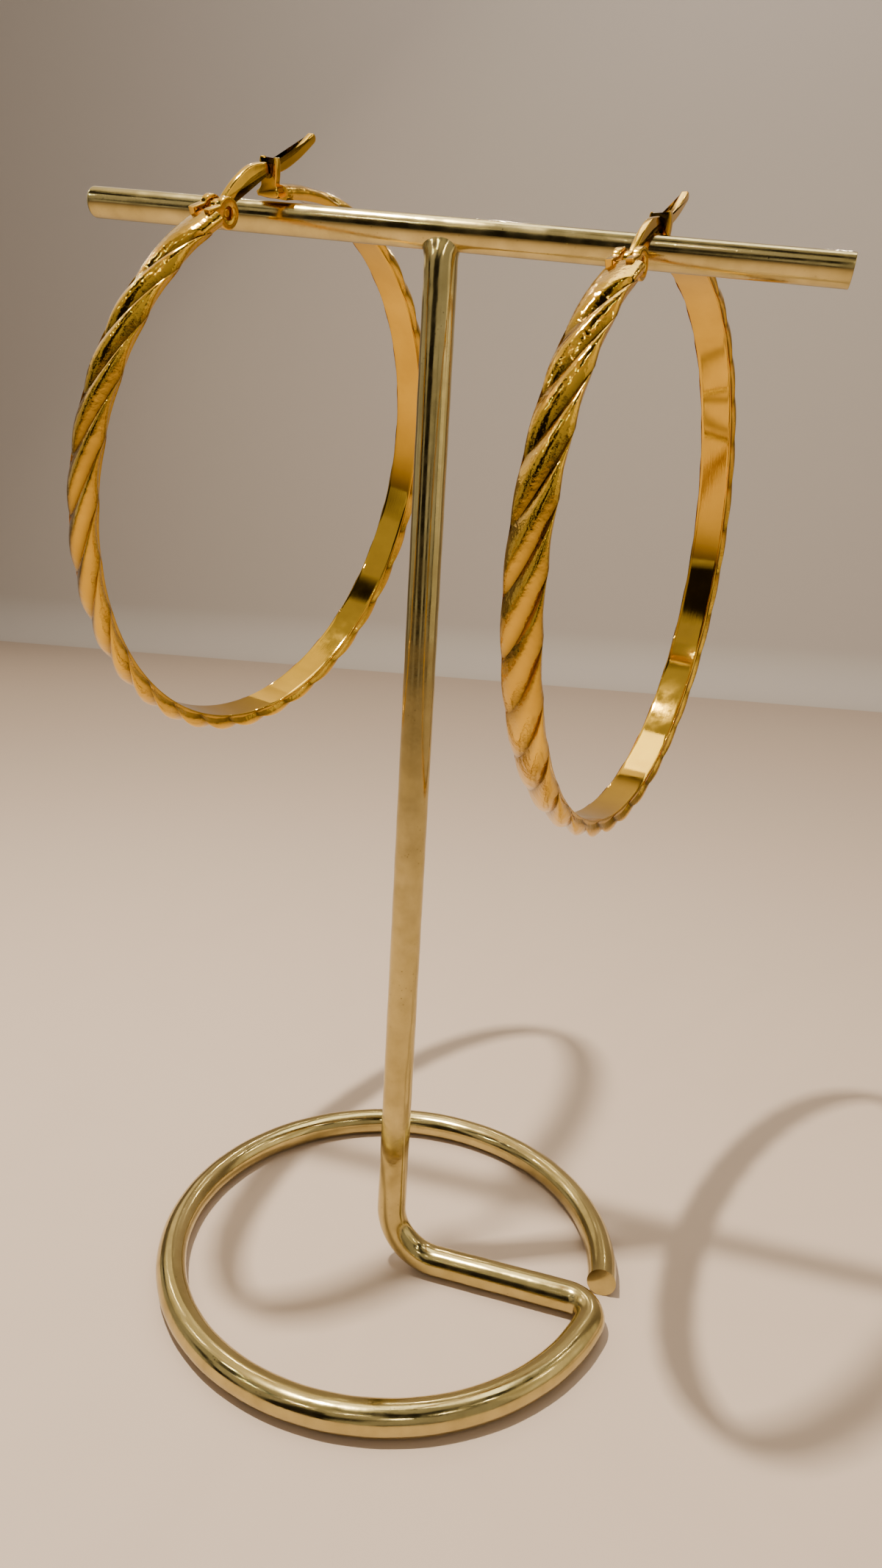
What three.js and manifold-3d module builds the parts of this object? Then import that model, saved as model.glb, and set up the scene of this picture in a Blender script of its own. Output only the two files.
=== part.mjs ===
// A pair of fluted hoop earrings hanging on a T-bar stand of bent rod.
// Millimetres, +Z up. The stand is laid out with its post on the Z axis, the table at z = 0
// and the bar along X. The whole group is then moved so that the origin is the middle of
// the box around everything, at the height of the table.
//
// Pieces:
//   stand                     base ring, fold, spoke and post from one rod, with the bar welded on top
//   left_hoop, right_hoop     fluted band, hinge ears and forked catch, soldered into one piece
//   left_rivet, right_rivet   pin through the ears
//   left_lever, right_lever   lever that turns on the rivet and drops into the fork

import * as THREE from 'three';
import { mergeVertices } from 'three/addons/utils/BufferGeometryUtils.js';
import Module from 'manifold-3d';

// Stand
const ROD_RADIUS = 2.0;
const ROD_SIDES = 12;
const RING_RADIUS = 30.6;            // to the middle of the rod
const RING_CENTRE_X = -0.8;
const RING_CENTRE_Y = 2.4;
const RING_FREE_END_DEG = 2.0;       // where the cut end of the ring lies, from +X
const RING_STEPS = 64;
const FOLD_RADIUS = 3.4;             // tight fold from the ring into the spoke
const FOLD_STEPS = 8;
const SPOKE_TURN_DEG = -1.6;         // direction of the spoke from the post, from +X
const FOOT_BEND_RADIUS = 7.0;        // spoke up into the post
const FOOT_BEND_STEPS = 7;
const BAR_HEIGHT = 134.6;            // middle of the bar where it crosses the post
const BAR_RADIUS = 1.75;
const BAR_SIDES = 16;
const BAR_LEFT_LENGTH = 46.4;
const BAR_RIGHT_LENGTH = 45.0;
const BAR_TILT_DEG = 6.7;            // the right end hangs lower
const BAR_LEFT_ROUNDING = 0.5;       // the left end's edge is rounded, the right end is cut flat

// Hoops. Angles round a hoop are counted in its own plane, from the far side (+Y) over the
// top (+Z), with the middle of the catch at 90 degrees.
const HOOP_INNER_RADIUS = 34.15;
const BAND_WIDTH = 4.3;              // of the flat inner face
const BAND_BULGE = 0.15;             // how far each side wall leans out
const BAND_WALL = 0.6;               // height of the side wall next to the inner face
const BAND_CROWN = 1.75;             // height of the rounded back above the side wall
const CROWN_SKEW = 1.35;             // the top of the back lies this far to one side
const BAND_END_SHARE = 0.65;         // the band's height at its ends, as a share of its full height
const TAPER_DEG = 95.0;              // from each end over this much the band grows to its full height
const CROWN_POINTS = 6;
const FLUTE_PITCH_DEG = 11.0;
const FLUTE_STEPS = 5;
const FLUTE_DEPTH = 0.8;
const FLUTE_EDGE_SHARE = 0.45;       // depth of a flute at the side wall, as a share of the middle's
const FLUTE_LEAN_DEG = 8.4;          // how far a flute runs round the hoop from its middle to its side
const PLAIN_END_DEG = 4.5;           // unfluted stretch at each end of the band
const FADE_DEG = 8.0;                // over this much more the flutes reach their full depth

// Catch
const FORK_THICKNESS = 0.9;
const FORK_FOOT_WIDTH = 3.0;
const FORK_WAIST_WIDTH = 2.1;
const FORK_WAIST_SHARE = 0.6;        // height of the waist, from the foot to the notch's floor
const FORK_FLARE_SHARE = 0.4;        // height of the foot's straight sides, from the foot to the waist
const HORN_WIDTH = 0.6;
const HORN_HEIGHT = 2.1;             // above the floor of the notch
const HORN_SHOULDER_SHARE = 0.33;    // where a horn has its full width, from the notch's floor to its tip

// Hinge and lever
const HINGE_ABOVE_BAND = 0.4;        // of the rivet's middle, from the band's inner face
const EAR_RADIUS = 1.5;
const EAR_THICKNESS = 0.85;
const EAR_REACH = 3.6;               // from the rivet back to inside the band's end
const EAR_NECK = 1.2;                // where an ear's upper edge meets the band, above the rivet
const EAR_NECK_TOP_SHARE = 0.95;     // the neck's edges at the rivet, as shares of the ear's radius
const EAR_NECK_BOTTOM_SHARE = 0.75;
const BAND_END_FROM_HINGE = 2.1;     // from the rivet's middle to the band's end
const EYE_SIDES = 14;
const LEVER_WIDTH = 0.85;
const LEVER_THICKNESS = 1.3;
const LEVER_TIP_THICKNESS = 1.05;
const LEVER_SPAN = 9.13;             // rivet to notch, along the chord's level
const LEVER_ABOVE_BAND = 3.0;        // of the lever's middle at the notch, from the band's inner face
const TIP_REACH = 8.3;               // notch to tip
const TIP_RISE = 3.0;
const LEVER_STEPS = 22;
const RIVET_RADIUS = 0.45;
const RIVET_RECESS = 0.12;           // the rivet's ends lie this far inside the ears' faces

// Clearances
const FIT_GAP = 0.25;                // beside the lever, in the eye and in the notch
const SEAT_GAP = 0.2;                // between a hoop and the bar that carries it

// How each hoop hangs. The bar goes through the clasp's gap: the left hoop rests on it with
// the inside of the band just behind the catch, the right one with its lever.
const HANGINGS = [
  { name: 'left', alongBar: -21.2, yawDeg: 10.4, leanDeg: 14.3, turnDeg: 22.9, barAtDeg: 88.7, seat: 'band' },
  { name: 'right', alongBar: 24.0, yawDeg: 13.4, leanDeg: 4.2, turnDeg: 17.6, barAtDeg: 94.2, seat: 'lever' },
];

// Colours
const BRASS = { color: 0xc9b56b, roughness: 0.28, metalness: 1.0 };
const GOLD = { color: 0xd9a133, roughness: 0.16, metalness: 1.0 };

const rad = THREE.MathUtils.degToRad;
const wasm = await Module();
wasm.setup();

// A closed three.js geometry as a solid for joining and cutting.
function solid(geometry) {
  const bare = geometry.clone();
  bare.deleteAttribute('normal');
  bare.deleteAttribute('uv');
  const merged = mergeVertices(bare, 1e-4);
  return new wasm.Manifold(new wasm.Mesh({
    numProp: 3,
    vertProperties: Float32Array.from(merged.attributes.position.array),
    triVerts: Uint32Array.from(merged.index.array),
  }));
}

// The joined or cut solid as a three.js geometry again.
function geometryOf(body) {
  const mesh = body.getMesh();
  const geometry = new THREE.BufferGeometry();
  geometry.setAttribute('position', new THREE.BufferAttribute(Float32Array.from(mesh.vertProperties), 3));
  geometry.setIndex(new THREE.BufferAttribute(Uint32Array.from(mesh.triVerts), 1));
  geometry.computeVertexNormals();
  return geometry;
}

// A regular outline whose flat sides lie at the given distance from its middle.
function roundSection(flatRadius, sides) {
  const corner = flatRadius / Math.cos(Math.PI / sides);
  const points = [];
  for (let i = 0; i < sides; i += 1) {
    const angle = ((i + 0.5) / sides) * 2 * Math.PI;
    points.push(new THREE.Vector2(corner * Math.cos(angle), corner * Math.sin(angle)));
  }
  return new THREE.Shape(points);
}

// A path of stretches, each a function of 0 to 1 with its own number of steps. The path's
// parameter counts steps, so that long straight stretches take one step only.
class SteppedPath extends THREE.Curve {
  constructor(stretches) {
    super();
    this.stretches = stretches;
    this.total = stretches.reduce((sum, stretch) => sum + stretch.steps, 0);
  }

  getUtoTmapping(u) {
    return u;
  }

  getPoint(t) {
    let left = THREE.MathUtils.clamp(t, 0, 1) * this.total;
    for (const stretch of this.stretches) {
      if (left <= stretch.steps) return stretch.at(left / stretch.steps);
      left -= stretch.steps;
    }
    return this.stretches[this.stretches.length - 1].at(1);
  }
}

function sweep(section, path) {
  return new THREE.ExtrudeGeometry(section, { steps: path.total, extrudePath: path, bevelEnabled: false });
}

// The middle line of the stand's rod, from the free end of the ring to the top of the post.
function rodPath() {
  const turn = rad(SPOKE_TURN_DEG);
  const ringCentre = new THREE.Vector2(RING_CENTRE_X, RING_CENTRE_Y);
  const along = new THREE.Vector2(Math.cos(turn), Math.sin(turn));
  const aside = new THREE.Vector2(Math.sin(turn), -Math.cos(turn));
  // The fold's circle touches the spoke's line and the ring from inside.
  const start = aside.clone().multiplyScalar(FOLD_RADIUS).sub(ringCentre);
  const b = start.dot(along);
  const c = start.lengthSq() - (RING_RADIUS - FOLD_RADIUS) ** 2;
  const foldAlong = -b + Math.sqrt(b * b - c);
  const fold = along.clone().multiplyScalar(foldAlong).addScaledVector(aside, FOLD_RADIUS);
  const foldStart = fold.clone().sub(ringCentre).angle() - 2 * Math.PI;
  const foldEnd = Math.PI / 2 + turn;
  const arc = (centre, radius, from, to) => (t) => {
    const angle = THREE.MathUtils.lerp(from, to, t);
    return new THREE.Vector3(
      centre.x + radius * Math.cos(angle), centre.y + radius * Math.sin(angle), ROD_RADIUS);
  };
  const spokeStart = new THREE.Vector3(along.x * foldAlong, along.y * foldAlong, ROD_RADIUS);
  const spokeEnd = new THREE.Vector3(along.x * FOOT_BEND_RADIUS, along.y * FOOT_BEND_RADIUS, ROD_RADIUS);
  const bend = (t) => {
    const angle = (t * Math.PI) / 2;
    const out = FOOT_BEND_RADIUS * (1 - Math.sin(angle));
    return new THREE.Vector3(
      along.x * out, along.y * out, ROD_RADIUS + FOOT_BEND_RADIUS * (1 - Math.cos(angle)));
  };
  const postStart = bend(1);
  const postEnd = new THREE.Vector3(0, 0, BAR_HEIGHT);
  return new SteppedPath([
    { steps: RING_STEPS, at: arc(ringCentre, RING_RADIUS, rad(RING_FREE_END_DEG), foldStart + 2 * Math.PI) },
    { steps: FOLD_STEPS, at: arc(fold, FOLD_RADIUS, foldStart, foldEnd) },
    { steps: 1, at: (t) => spokeStart.clone().lerp(spokeEnd, t) },
    { steps: FOOT_BEND_STEPS, at: bend },
    { steps: 1, at: (t) => postStart.clone().lerp(postEnd, t) },
  ]);
}

// The bar lies along its own X, with its crossing with the post at 0, and is then tilted.
function barGeometry() {
  const rounding = BAR_LEFT_ROUNDING;
  const profile = [
    new THREE.Vector2(0, -BAR_LEFT_LENGTH),
    new THREE.Vector2(BAR_RADIUS - rounding, -BAR_LEFT_LENGTH),
    new THREE.Vector2(BAR_RADIUS - rounding * (1 - Math.SQRT1_2),
      -BAR_LEFT_LENGTH + rounding * (1 - Math.SQRT1_2)),
    new THREE.Vector2(BAR_RADIUS, -BAR_LEFT_LENGTH + rounding),
    new THREE.Vector2(BAR_RADIUS, BAR_RIGHT_LENGTH),
    new THREE.Vector2(0, BAR_RIGHT_LENGTH),
  ];
  return new THREE.LatheGeometry(profile, BAR_SIDES)
    .rotateZ(-Math.PI / 2)
    .rotateY(rad(BAR_TILT_DEG))
    .translate(0, 0, BAR_HEIGHT);
}

function standGeometry() {
  const rod = solid(sweep(roundSection(ROD_RADIUS, ROD_SIDES), rodPath()));
  return geometryOf(rod.add(solid(barGeometry())));
}

// Place in the hoop's plane, from the middle: across the band, radius and angle.
function place(across, radius, angleDeg) {
  const angle = rad(angleDeg);
  return new THREE.Vector3(across, radius * Math.cos(angle), radius * Math.sin(angle));
}

const CATCH_DEG = 90;
const HINGE_RADIUS = HOOP_INNER_RADIUS + HINGE_ABOVE_BAND;
const HINGE_FROM_CATCH_DEG = THREE.MathUtils.radToDeg(Math.asin(LEVER_SPAN / HINGE_RADIUS));
const HINGE_DEG = CATCH_DEG + HINGE_FROM_CATCH_DEG;
const LEVER_RADIUS = HOOP_INNER_RADIUS + LEVER_ABOVE_BAND;
const LEVER_RISE = LEVER_RADIUS - HINGE_RADIUS * Math.sin(rad(HINGE_DEG));
const LEVER_UNDER_RADIUS = LEVER_RADIUS - LEVER_THICKNESS / 2;
const NOTCH_RADIUS = LEVER_UNDER_RADIUS - FIT_GAP;
const BAND_FAR_END_DEG = CATCH_DEG - THREE.MathUtils.radToDeg(FORK_THICKNESS / 4 / HOOP_INNER_RADIUS);
const BAND_NEAR_END_DEG = HINGE_DEG + THREE.MathUtils.radToDeg(BAND_END_FROM_HINGE / HINGE_RADIUS);

const CROWN_HALF_WIDTH = BAND_WIDTH / 2 + BAND_BULGE;

// The band's section: flat inner face, side walls and a rounded back, with y outwards.
function bandSection() {
  const points = [new THREE.Vector2(-BAND_WIDTH / 2, 0), new THREE.Vector2(BAND_WIDTH / 2, 0)];
  for (let i = 0; i <= CROWN_POINTS; i += 1) {
    const angle = (i / CROWN_POINTS) * Math.PI;
    points.push(new THREE.Vector2(
      CROWN_HALF_WIDTH * Math.cos(angle), BAND_WALL + BAND_CROWN * Math.sin(angle)));
  }
  return new THREE.Shape(points);
}

function degreesFromEnd(angleDeg) {
  return Math.min(angleDeg - BAND_NEAR_END_DEG, BAND_FAR_END_DEG + 360 - angleDeg);
}

// How much of the flutes shows at an angle of the band: none at its ends, all further on.
function fluteStrength(angleDeg) {
  return THREE.MathUtils.smoothstep(degreesFromEnd(angleDeg), PLAIN_END_DEG, PLAIN_END_DEG + FADE_DEG);
}

// The band is lower at its ends.
function heightShare(angleDeg) {
  const risen = THREE.MathUtils.smoothstep(degreesFromEnd(angleDeg), 0, TAPER_DEG);
  return THREE.MathUtils.lerp(BAND_END_SHARE, 1, risen);
}

// The band is swept round the hoop and each corner of it is then moved: inwards by the
// flute that it lies in, along the hoop by the flutes' lean, and sideways by the skew of
// the back.
function bandGeometry() {
  const from = BAND_FAR_END_DEG + 360;
  const steps = Math.round((from - BAND_NEAR_END_DEG) / FLUTE_PITCH_DEG) * FLUTE_STEPS;
  const arc = (t) => place(0, HOOP_INNER_RADIUS, THREE.MathUtils.lerp(from, BAND_NEAR_END_DEG, t));
  const geometry = sweep(bandSection(), new SteppedPath([{ steps, at: arc }]));
  const position = geometry.attributes.position;
  for (let i = 0; i < position.count; i += 1) {
    const across = position.getX(i);
    const radius = Math.hypot(position.getY(i), position.getZ(i));
    let angle = THREE.MathUtils.radToDeg(Math.atan2(position.getZ(i), position.getY(i)));
    while (angle < BAND_NEAR_END_DEG - FLUTE_PITCH_DEG / FLUTE_STEPS / 2) angle += 360;
    const height = radius - HOOP_INNER_RADIUS;
    if (height < BAND_WALL / 2) continue;
    const strength = fluteStrength(angle);
    const step = (from - angle) / ((from - BAND_NEAR_END_DEG) / steps);
    const ridge = Math.abs(Math.sin((Math.PI * step) / FLUTE_STEPS));
    const middle = Math.sqrt(Math.max(0, 1 - (across / CROWN_HALF_WIDTH) ** 2));
    const depth = FLUTE_DEPTH * THREE.MathUtils.lerp(FLUTE_EDGE_SHARE, 1, middle);
    const share = heightShare(angle);
    const raised = height * share - depth * (1 - ridge) * strength;
    const skewed = across + CROWN_SKEW * share * Math.max(0, height - BAND_WALL) / BAND_CROWN;
    const moved = place(
      skewed, HOOP_INNER_RADIUS + raised, angle - FLUTE_LEAN_DEG * strength * (across / CROWN_HALF_WIDTH));
    position.setXYZ(i, moved.x, moved.y, moved.z);
  }
  return geometry;
}

// The forked catch: a plate across the band's far end, with a notch between two horns.
function forkGeometry() {
  const notch = LEVER_WIDTH / 2 + FIT_GAP;
  const top = NOTCH_RADIUS + HORN_HEIGHT;
  const foot = HOOP_INNER_RADIUS + FIT_GAP;
  const waist = THREE.MathUtils.lerp(foot, NOTCH_RADIUS, FORK_WAIST_SHARE);
  const right = [
    [FORK_FOOT_WIDTH / 2, foot],
    [FORK_FOOT_WIDTH / 2, THREE.MathUtils.lerp(foot, waist, FORK_FLARE_SHARE)],
    [FORK_WAIST_WIDTH / 2, waist],
    [notch + HORN_WIDTH, NOTCH_RADIUS + HORN_HEIGHT * HORN_SHOULDER_SHARE],
    [notch + HORN_WIDTH, top - HORN_WIDTH / 2],
    [notch + HORN_WIDTH / 2, top],
    [notch, top - HORN_WIDTH / 2],
    [notch, NOTCH_RADIUS + notch / 2],
    [notch / 2, NOTCH_RADIUS],
  ];
  const outline = [...right, ...right.map(([x, y]) => [-x, y]).reverse()];
  return new THREE.ExtrudeGeometry(new THREE.Shape(outline.map(([x, y]) => new THREE.Vector2(x, y))),
    { depth: FORK_THICKNESS, bevelEnabled: false })
    .rotateX(Math.PI / 2)
    .translate(0, FORK_THICKNESS / 2, 0);
}

// An outline in the hoop's plane, drawn from the rivet with x towards the catch and y
// outwards, as a plate around the plane's middle or beside it.
function plateAtHinge(shape, thickness, across) {
  const hinge = place(across, HINGE_RADIUS, HINGE_DEG);
  return new THREE.ExtrudeGeometry(shape, { depth: thickness, bevelEnabled: false, curveSegments: EYE_SIDES })
    .translate(0, 0, -thickness / 2)
    .applyMatrix4(new THREE.Matrix4().makeBasis(
      new THREE.Vector3(0, 1, 0), new THREE.Vector3(0, 0, 1), new THREE.Vector3(1, 0, 0)))
    .translate(hinge.x, hinge.y, hinge.z);
}

function disc(radius) {
  return new THREE.Shape().absarc(0, 0, radius, 0, 2 * Math.PI, false);
}

const EAR_ACROSS = LEVER_WIDTH / 2 + FIT_GAP + EAR_THICKNESS / 2;
const HOLE_RADIUS = RIVET_RADIUS + FIT_GAP;

// An ear is a disc around the rivet with a neck back into the band's end.
function earSolid(side) {
  const back = rad(HINGE_FROM_CATCH_DEG);
  const neck = new THREE.Shape([
    new THREE.Vector2(0, -EAR_RADIUS * EAR_NECK_BOTTOM_SHARE),
    new THREE.Vector2(0, EAR_RADIUS * EAR_NECK_TOP_SHARE),
    new THREE.Vector2(-EAR_REACH, EAR_NECK),
    new THREE.Vector2(-EAR_REACH, FIT_GAP),
  ]);
  const turn = new THREE.Matrix4().makeTranslation(...place(0, HINGE_RADIUS, HINGE_DEG).toArray())
    .multiply(new THREE.Matrix4().makeRotationX(back))
    .multiply(new THREE.Matrix4().makeTranslation(...place(0, -HINGE_RADIUS, HINGE_DEG).toArray()));
  const round = solid(plateAtHinge(disc(EAR_RADIUS), EAR_THICKNESS, side * EAR_ACROSS));
  const arm = solid(plateAtHinge(neck, EAR_THICKNESS, side * EAR_ACROSS).applyMatrix4(turn));
  return round.add(arm);
}

function hoopGeometry() {
  const bore = solid(plateAtHinge(disc(HOLE_RADIUS), BAND_WIDTH * 2, 0));
  const body = solid(bandGeometry())
    .add(solid(forkGeometry()))
    .add(earSolid(-1))
    .add(earSolid(1))
    .subtract(bore);
  return geometryOf(body);
}

// The lever's middle line from the rivet, in shares of its two spans: it arches up to the
// notch, runs level through it and flicks up to the tip.
const LEVER_LINE = [
  { span: 0.0, rise: 0.0, reach: 0, flick: 0 },
  { span: 0.19, rise: 0.38, reach: 0, flick: 0 },
  { span: 0.37, rise: 0.68, reach: 0, flick: 0 },
  { span: 0.6, rise: 0.94, reach: 0, flick: 0 },
  { span: 0.82, rise: 1.01, reach: 0, flick: 0 },
  { span: 1.0, rise: 1.0, reach: 0, flick: 0 },
  { span: 1.0, rise: 1.0, reach: 0.25, flick: 0.08 },
  { span: 1.0, rise: 1.0, reach: 0.52, flick: 0.33 },
  { span: 1.0, rise: 1.0, reach: 0.76, flick: 0.64 },
  { span: 1.0, rise: 1.0, reach: 1.0, flick: 1.0 },
];

function leverGeometry() {
  const line = new THREE.SplineCurve(LEVER_LINE.map((row) => new THREE.Vector2(
    row.span * LEVER_SPAN + row.reach * TIP_REACH, row.rise * LEVER_RISE + row.flick * TIP_RISE)));
  const upper = [];
  const lower = [];
  const first = HOLE_RADIUS + FIT_GAP;
  const length = line.getLength();
  for (let i = 0; i <= LEVER_STEPS; i += 1) {
    const u = THREE.MathUtils.lerp(first / length, 1, i / LEVER_STEPS);
    const middle = line.getPointAt(u);
    const tangent = line.getTangentAt(u);
    const fromTip = (1 - u) * length;
    const full = THREE.MathUtils.lerp(LEVER_THICKNESS, LEVER_TIP_THICKNESS, u) / 2;
    const half = fromTip < full ? Math.sqrt(full ** 2 - (full - fromTip) ** 2) : full;
    upper.push(new THREE.Vector2(middle.x - tangent.y * half, middle.y + tangent.x * half));
    lower.push(new THREE.Vector2(middle.x + tangent.y * half, middle.y - tangent.x * half));
  }
  lower.pop();
  const arm = new THREE.Shape([...lower, ...upper.reverse()]);
  const eye = disc(EAR_RADIUS - FIT_GAP);
  const bore = solid(plateAtHinge(disc(HOLE_RADIUS), LEVER_WIDTH * 2, 0));
  return geometryOf(solid(plateAtHinge(arm, LEVER_WIDTH, 0))
    .add(solid(plateAtHinge(eye, LEVER_WIDTH, 0)))
    .subtract(bore));
}

function rivetGeometry() {
  const length = 2 * (EAR_ACROSS + EAR_THICKNESS / 2 - RIVET_RECESS);
  const hinge = place(0, HINGE_RADIUS, HINGE_DEG);
  return new THREE.CylinderGeometry(RIVET_RADIUS, RIVET_RADIUS, length, EYE_SIDES)
    .rotateZ(Math.PI / 2)
    .translate(hinge.x, hinge.y, hinge.z);
}

// The group of one hoop, turned as it hangs and moved until the bar's middle line goes
// through the hoop's plane at the stated angle, with the seat's gap above the bar.
function hangingGroup(hanging) {
  const group = new THREE.Group();
  group.rotation.set(rad(hanging.turnDeg), rad(hanging.leanDeg), -rad(hanging.yawDeg), 'ZYX');
  const tilt = rad(BAR_TILT_DEG);
  const barLine = new THREE.Vector3(Math.cos(tilt), 0, -Math.sin(tilt));
  const inPlane = barLine.clone().applyQuaternion(
    new THREE.Quaternion().setFromEuler(group.rotation).invert());
  const outward = place(0, 1, hanging.barAtDeg);
  const climb = Math.abs(inPlane.dot(outward) / inPlane.x);
  const seats = {
    band: { radius: HOOP_INNER_RADIUS, halfWidth: BAND_WIDTH / 2 },
    lever: { radius: LEVER_UNDER_RADIUS, halfWidth: LEVER_WIDTH / 2 },
  };
  const seat = seats[hanging.seat];
  const barRadius = seat.radius - SEAT_GAP - BAR_RADIUS / Math.abs(inPlane.x) - climb * seat.halfWidth;
  const crossing = place(0, barRadius, hanging.barAtDeg).applyEuler(group.rotation);
  const onBar = barLine.clone().multiplyScalar(hanging.alongBar).add(new THREE.Vector3(0, 0, BAR_HEIGHT));
  group.position.copy(onBar.sub(crossing));
  return group;
}

function mesh(name, geometry, finish) {
  const piece = new THREE.Mesh(geometry, new THREE.MeshStandardMaterial(finish));
  piece.name = name;
  return piece;
}

const model = new THREE.Group();
model.add(mesh('stand', standGeometry(), BRASS));
for (const hanging of HANGINGS) {
  const group = hangingGroup(hanging);
  group.add(mesh(`${hanging.name}_hoop`, hoopGeometry(), GOLD));
  group.add(mesh(`${hanging.name}_rivet`, rivetGeometry(), GOLD));
  group.add(mesh(`${hanging.name}_lever`, leverGeometry(), GOLD));
  model.add(group);
}

// The origin is the middle of the box around everything, on the table.
model.updateMatrixWorld(true);
const box = new THREE.Box3().setFromObject(model, true);
model.position.set(-(box.min.x + box.max.x) / 2, -(box.min.y + box.max.y) / 2, -box.min.z);
model.updateMatrixWorld(true);

export default model;
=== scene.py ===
# %% [markdown]
# # A pair of fluted hoop earrings on a brass T-bar stand
# The CAD model gives every solid its size and place. This file dresses it for the eye:
# smooth surfaces in place of the faceted ones, worn brass and polished gold plating,
# a pale table and soft light. All measures of pieces are in millimetres and are turned
# into metres only when a mesh is made, because makers of jewellery think in millimetres.

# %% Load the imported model
import math

import bpy
import numpy as np
from mathutils import Matrix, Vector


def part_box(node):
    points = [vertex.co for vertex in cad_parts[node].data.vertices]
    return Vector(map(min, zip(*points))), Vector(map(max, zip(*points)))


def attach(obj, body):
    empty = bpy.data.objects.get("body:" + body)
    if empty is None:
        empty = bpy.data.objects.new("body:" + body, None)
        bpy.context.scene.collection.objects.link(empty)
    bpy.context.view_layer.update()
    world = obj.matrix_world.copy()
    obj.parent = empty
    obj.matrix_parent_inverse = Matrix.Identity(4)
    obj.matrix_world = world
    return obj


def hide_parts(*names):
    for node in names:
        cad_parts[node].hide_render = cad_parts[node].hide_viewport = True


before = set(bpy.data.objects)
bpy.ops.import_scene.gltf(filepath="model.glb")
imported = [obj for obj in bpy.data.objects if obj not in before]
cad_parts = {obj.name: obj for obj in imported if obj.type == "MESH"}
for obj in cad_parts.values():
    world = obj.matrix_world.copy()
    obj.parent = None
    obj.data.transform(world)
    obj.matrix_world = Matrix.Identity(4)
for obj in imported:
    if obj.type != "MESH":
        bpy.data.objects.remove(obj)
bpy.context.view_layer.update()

# %% [markdown]
# ## Small tools
# Every shape here is a table of points worked out by numpy: rows run along a piece and
# columns run round it. A loop over single vertices would be slow and hard to read, so the
# formulas work on whole arrays. The helpers below are the blends that the formulas use
# again and again.

# %% Blends between values
MM = 0.001


def blend(a, b, share):
    """Straight blend: a where share is 0, b where share is 1."""
    return a + (b - a) * share


def ease(x, low, high):
    """Smooth step: 0 below low, 1 above high, and 3t*t - 2t*t*t between them."""
    t = np.clip((x - low) / (high - low), 0.0, 1.0)
    return t * t * (3.0 - 2.0 * t)


def unit(vectors):
    """Each vector divided by its own length."""
    return vectors / np.linalg.norm(vectors, axis=-1, keepdims=True)


print("blend of 2 and 4 at a half:", blend(2, 4, 0.5))

# %% [markdown]
# A rod, a band and a rivet are all one kind of surface: a ring of points carried along a
# path. Its faces follow from the table alone, so one function makes them all. It closes
# both ends with a single flat face and measures the volume, and where the volume comes out
# negative the faces look inwards and are turned round.

# %% Faces of a carried ring
def carried_faces(rows, columns):
    """Quads between neighbouring rows, wrapping round in each row, and a face at each end."""
    i, j = np.meshgrid(np.arange(rows - 1), np.arange(columns), indexing="ij")
    k = (j + 1) % columns
    row, after = i * columns, (i + 1) * columns
    quads = np.stack([row + j, row + k, after + k, after + j], -1).reshape(-1, 4)
    near = np.arange(columns)[::-1]
    far = np.arange(columns) + (rows - 1) * columns
    return quads, [near, far]


def carried_uv(along, around):
    """Per face corner: how far round the ring and how far along the path, in the same unit."""
    i, j = np.meshgrid(np.arange(len(along) - 1), np.arange(len(around) - 1), indexing="ij")
    u = np.stack([around[j], around[j + 1], around[j + 1], around[j]], -1)
    v = np.stack([along[i], along[i], along[i + 1], along[i + 1]], -1)
    return np.stack([u, v], -1).reshape(-1, 2)


def signed_volume(points, faces):
    """Sum over fans of triangles of a.(b x c)/6, positive when the faces look outwards."""
    total = 0.0
    for face in faces:
        face = np.atleast_2d(face)
        a = points[face[:, 0]]
        for n in range(1, face.shape[1] - 1):
            b, c = points[face[:, n]], points[face[:, n + 1]]
            total += np.einsum("ij,ij->", a, np.cross(b, c)) / 6.0
    return total


print("a ring of 12 points carried over 3 rows has", len(carried_faces(3, 12)[0]), "quads")

# %% [markdown]
# The next helper puts the points in a mesh. The pattern of a drawn wire or a polished band
# follows the metal, so the mesh gets a UV map whose unit is a millimetre both ways, and may
# get a value per point, such as how deep it lies in a groove, which a material can read.

# %% Put points in a mesh
def metal_piece(name, points, quads, caps, uv=None, marks=None, crease_deg=32.0):
    """A mesh object at the origin from points in millimetres, facing outwards, smooth shaded."""
    if signed_volume(points, [quads] + [np.array([cap]) for cap in caps]) < 0:
        quads = quads[:, ::-1]
        uv = None if uv is None else uv.reshape(-1, 4, 2)[:, ::-1].reshape(-1, 2)
        caps = [cap[::-1] for cap in caps]
    mesh = bpy.data.meshes.new(name)
    mesh.from_pydata((points * MM).tolist(), [], quads.tolist() + [cap.tolist() for cap in caps])
    if uv is not None:
        layer = mesh.uv_layers.new(name="UVMap")
        corners = np.zeros((len(mesh.loops), 2))
        corners[: len(uv)] = uv
        layer.data.foreach_set("uv", corners.ravel())
    for key, values in (marks or {}).items():
        attribute = mesh.attributes.new(key, "FLOAT", "POINT")
        attribute.data.foreach_set("value", np.asarray(values, dtype=np.float32).ravel())
    mesh.shade_smooth()
    mesh.set_sharp_from_angle(angle=math.radians(crease_deg))
    piece = bpy.data.objects.new(name, mesh)
    bpy.context.scene.collection.objects.link(piece)
    print(name, "points", len(points), "faces", len(mesh.polygons))
    return piece


# %% [markdown]
# ## The measures
# The stand is one 4 mm rod with a 3.5 mm bar welded across its top. The numbers repeat the
# ones of the CAD model, because the smooth pieces must lie where the solids lie.

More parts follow.
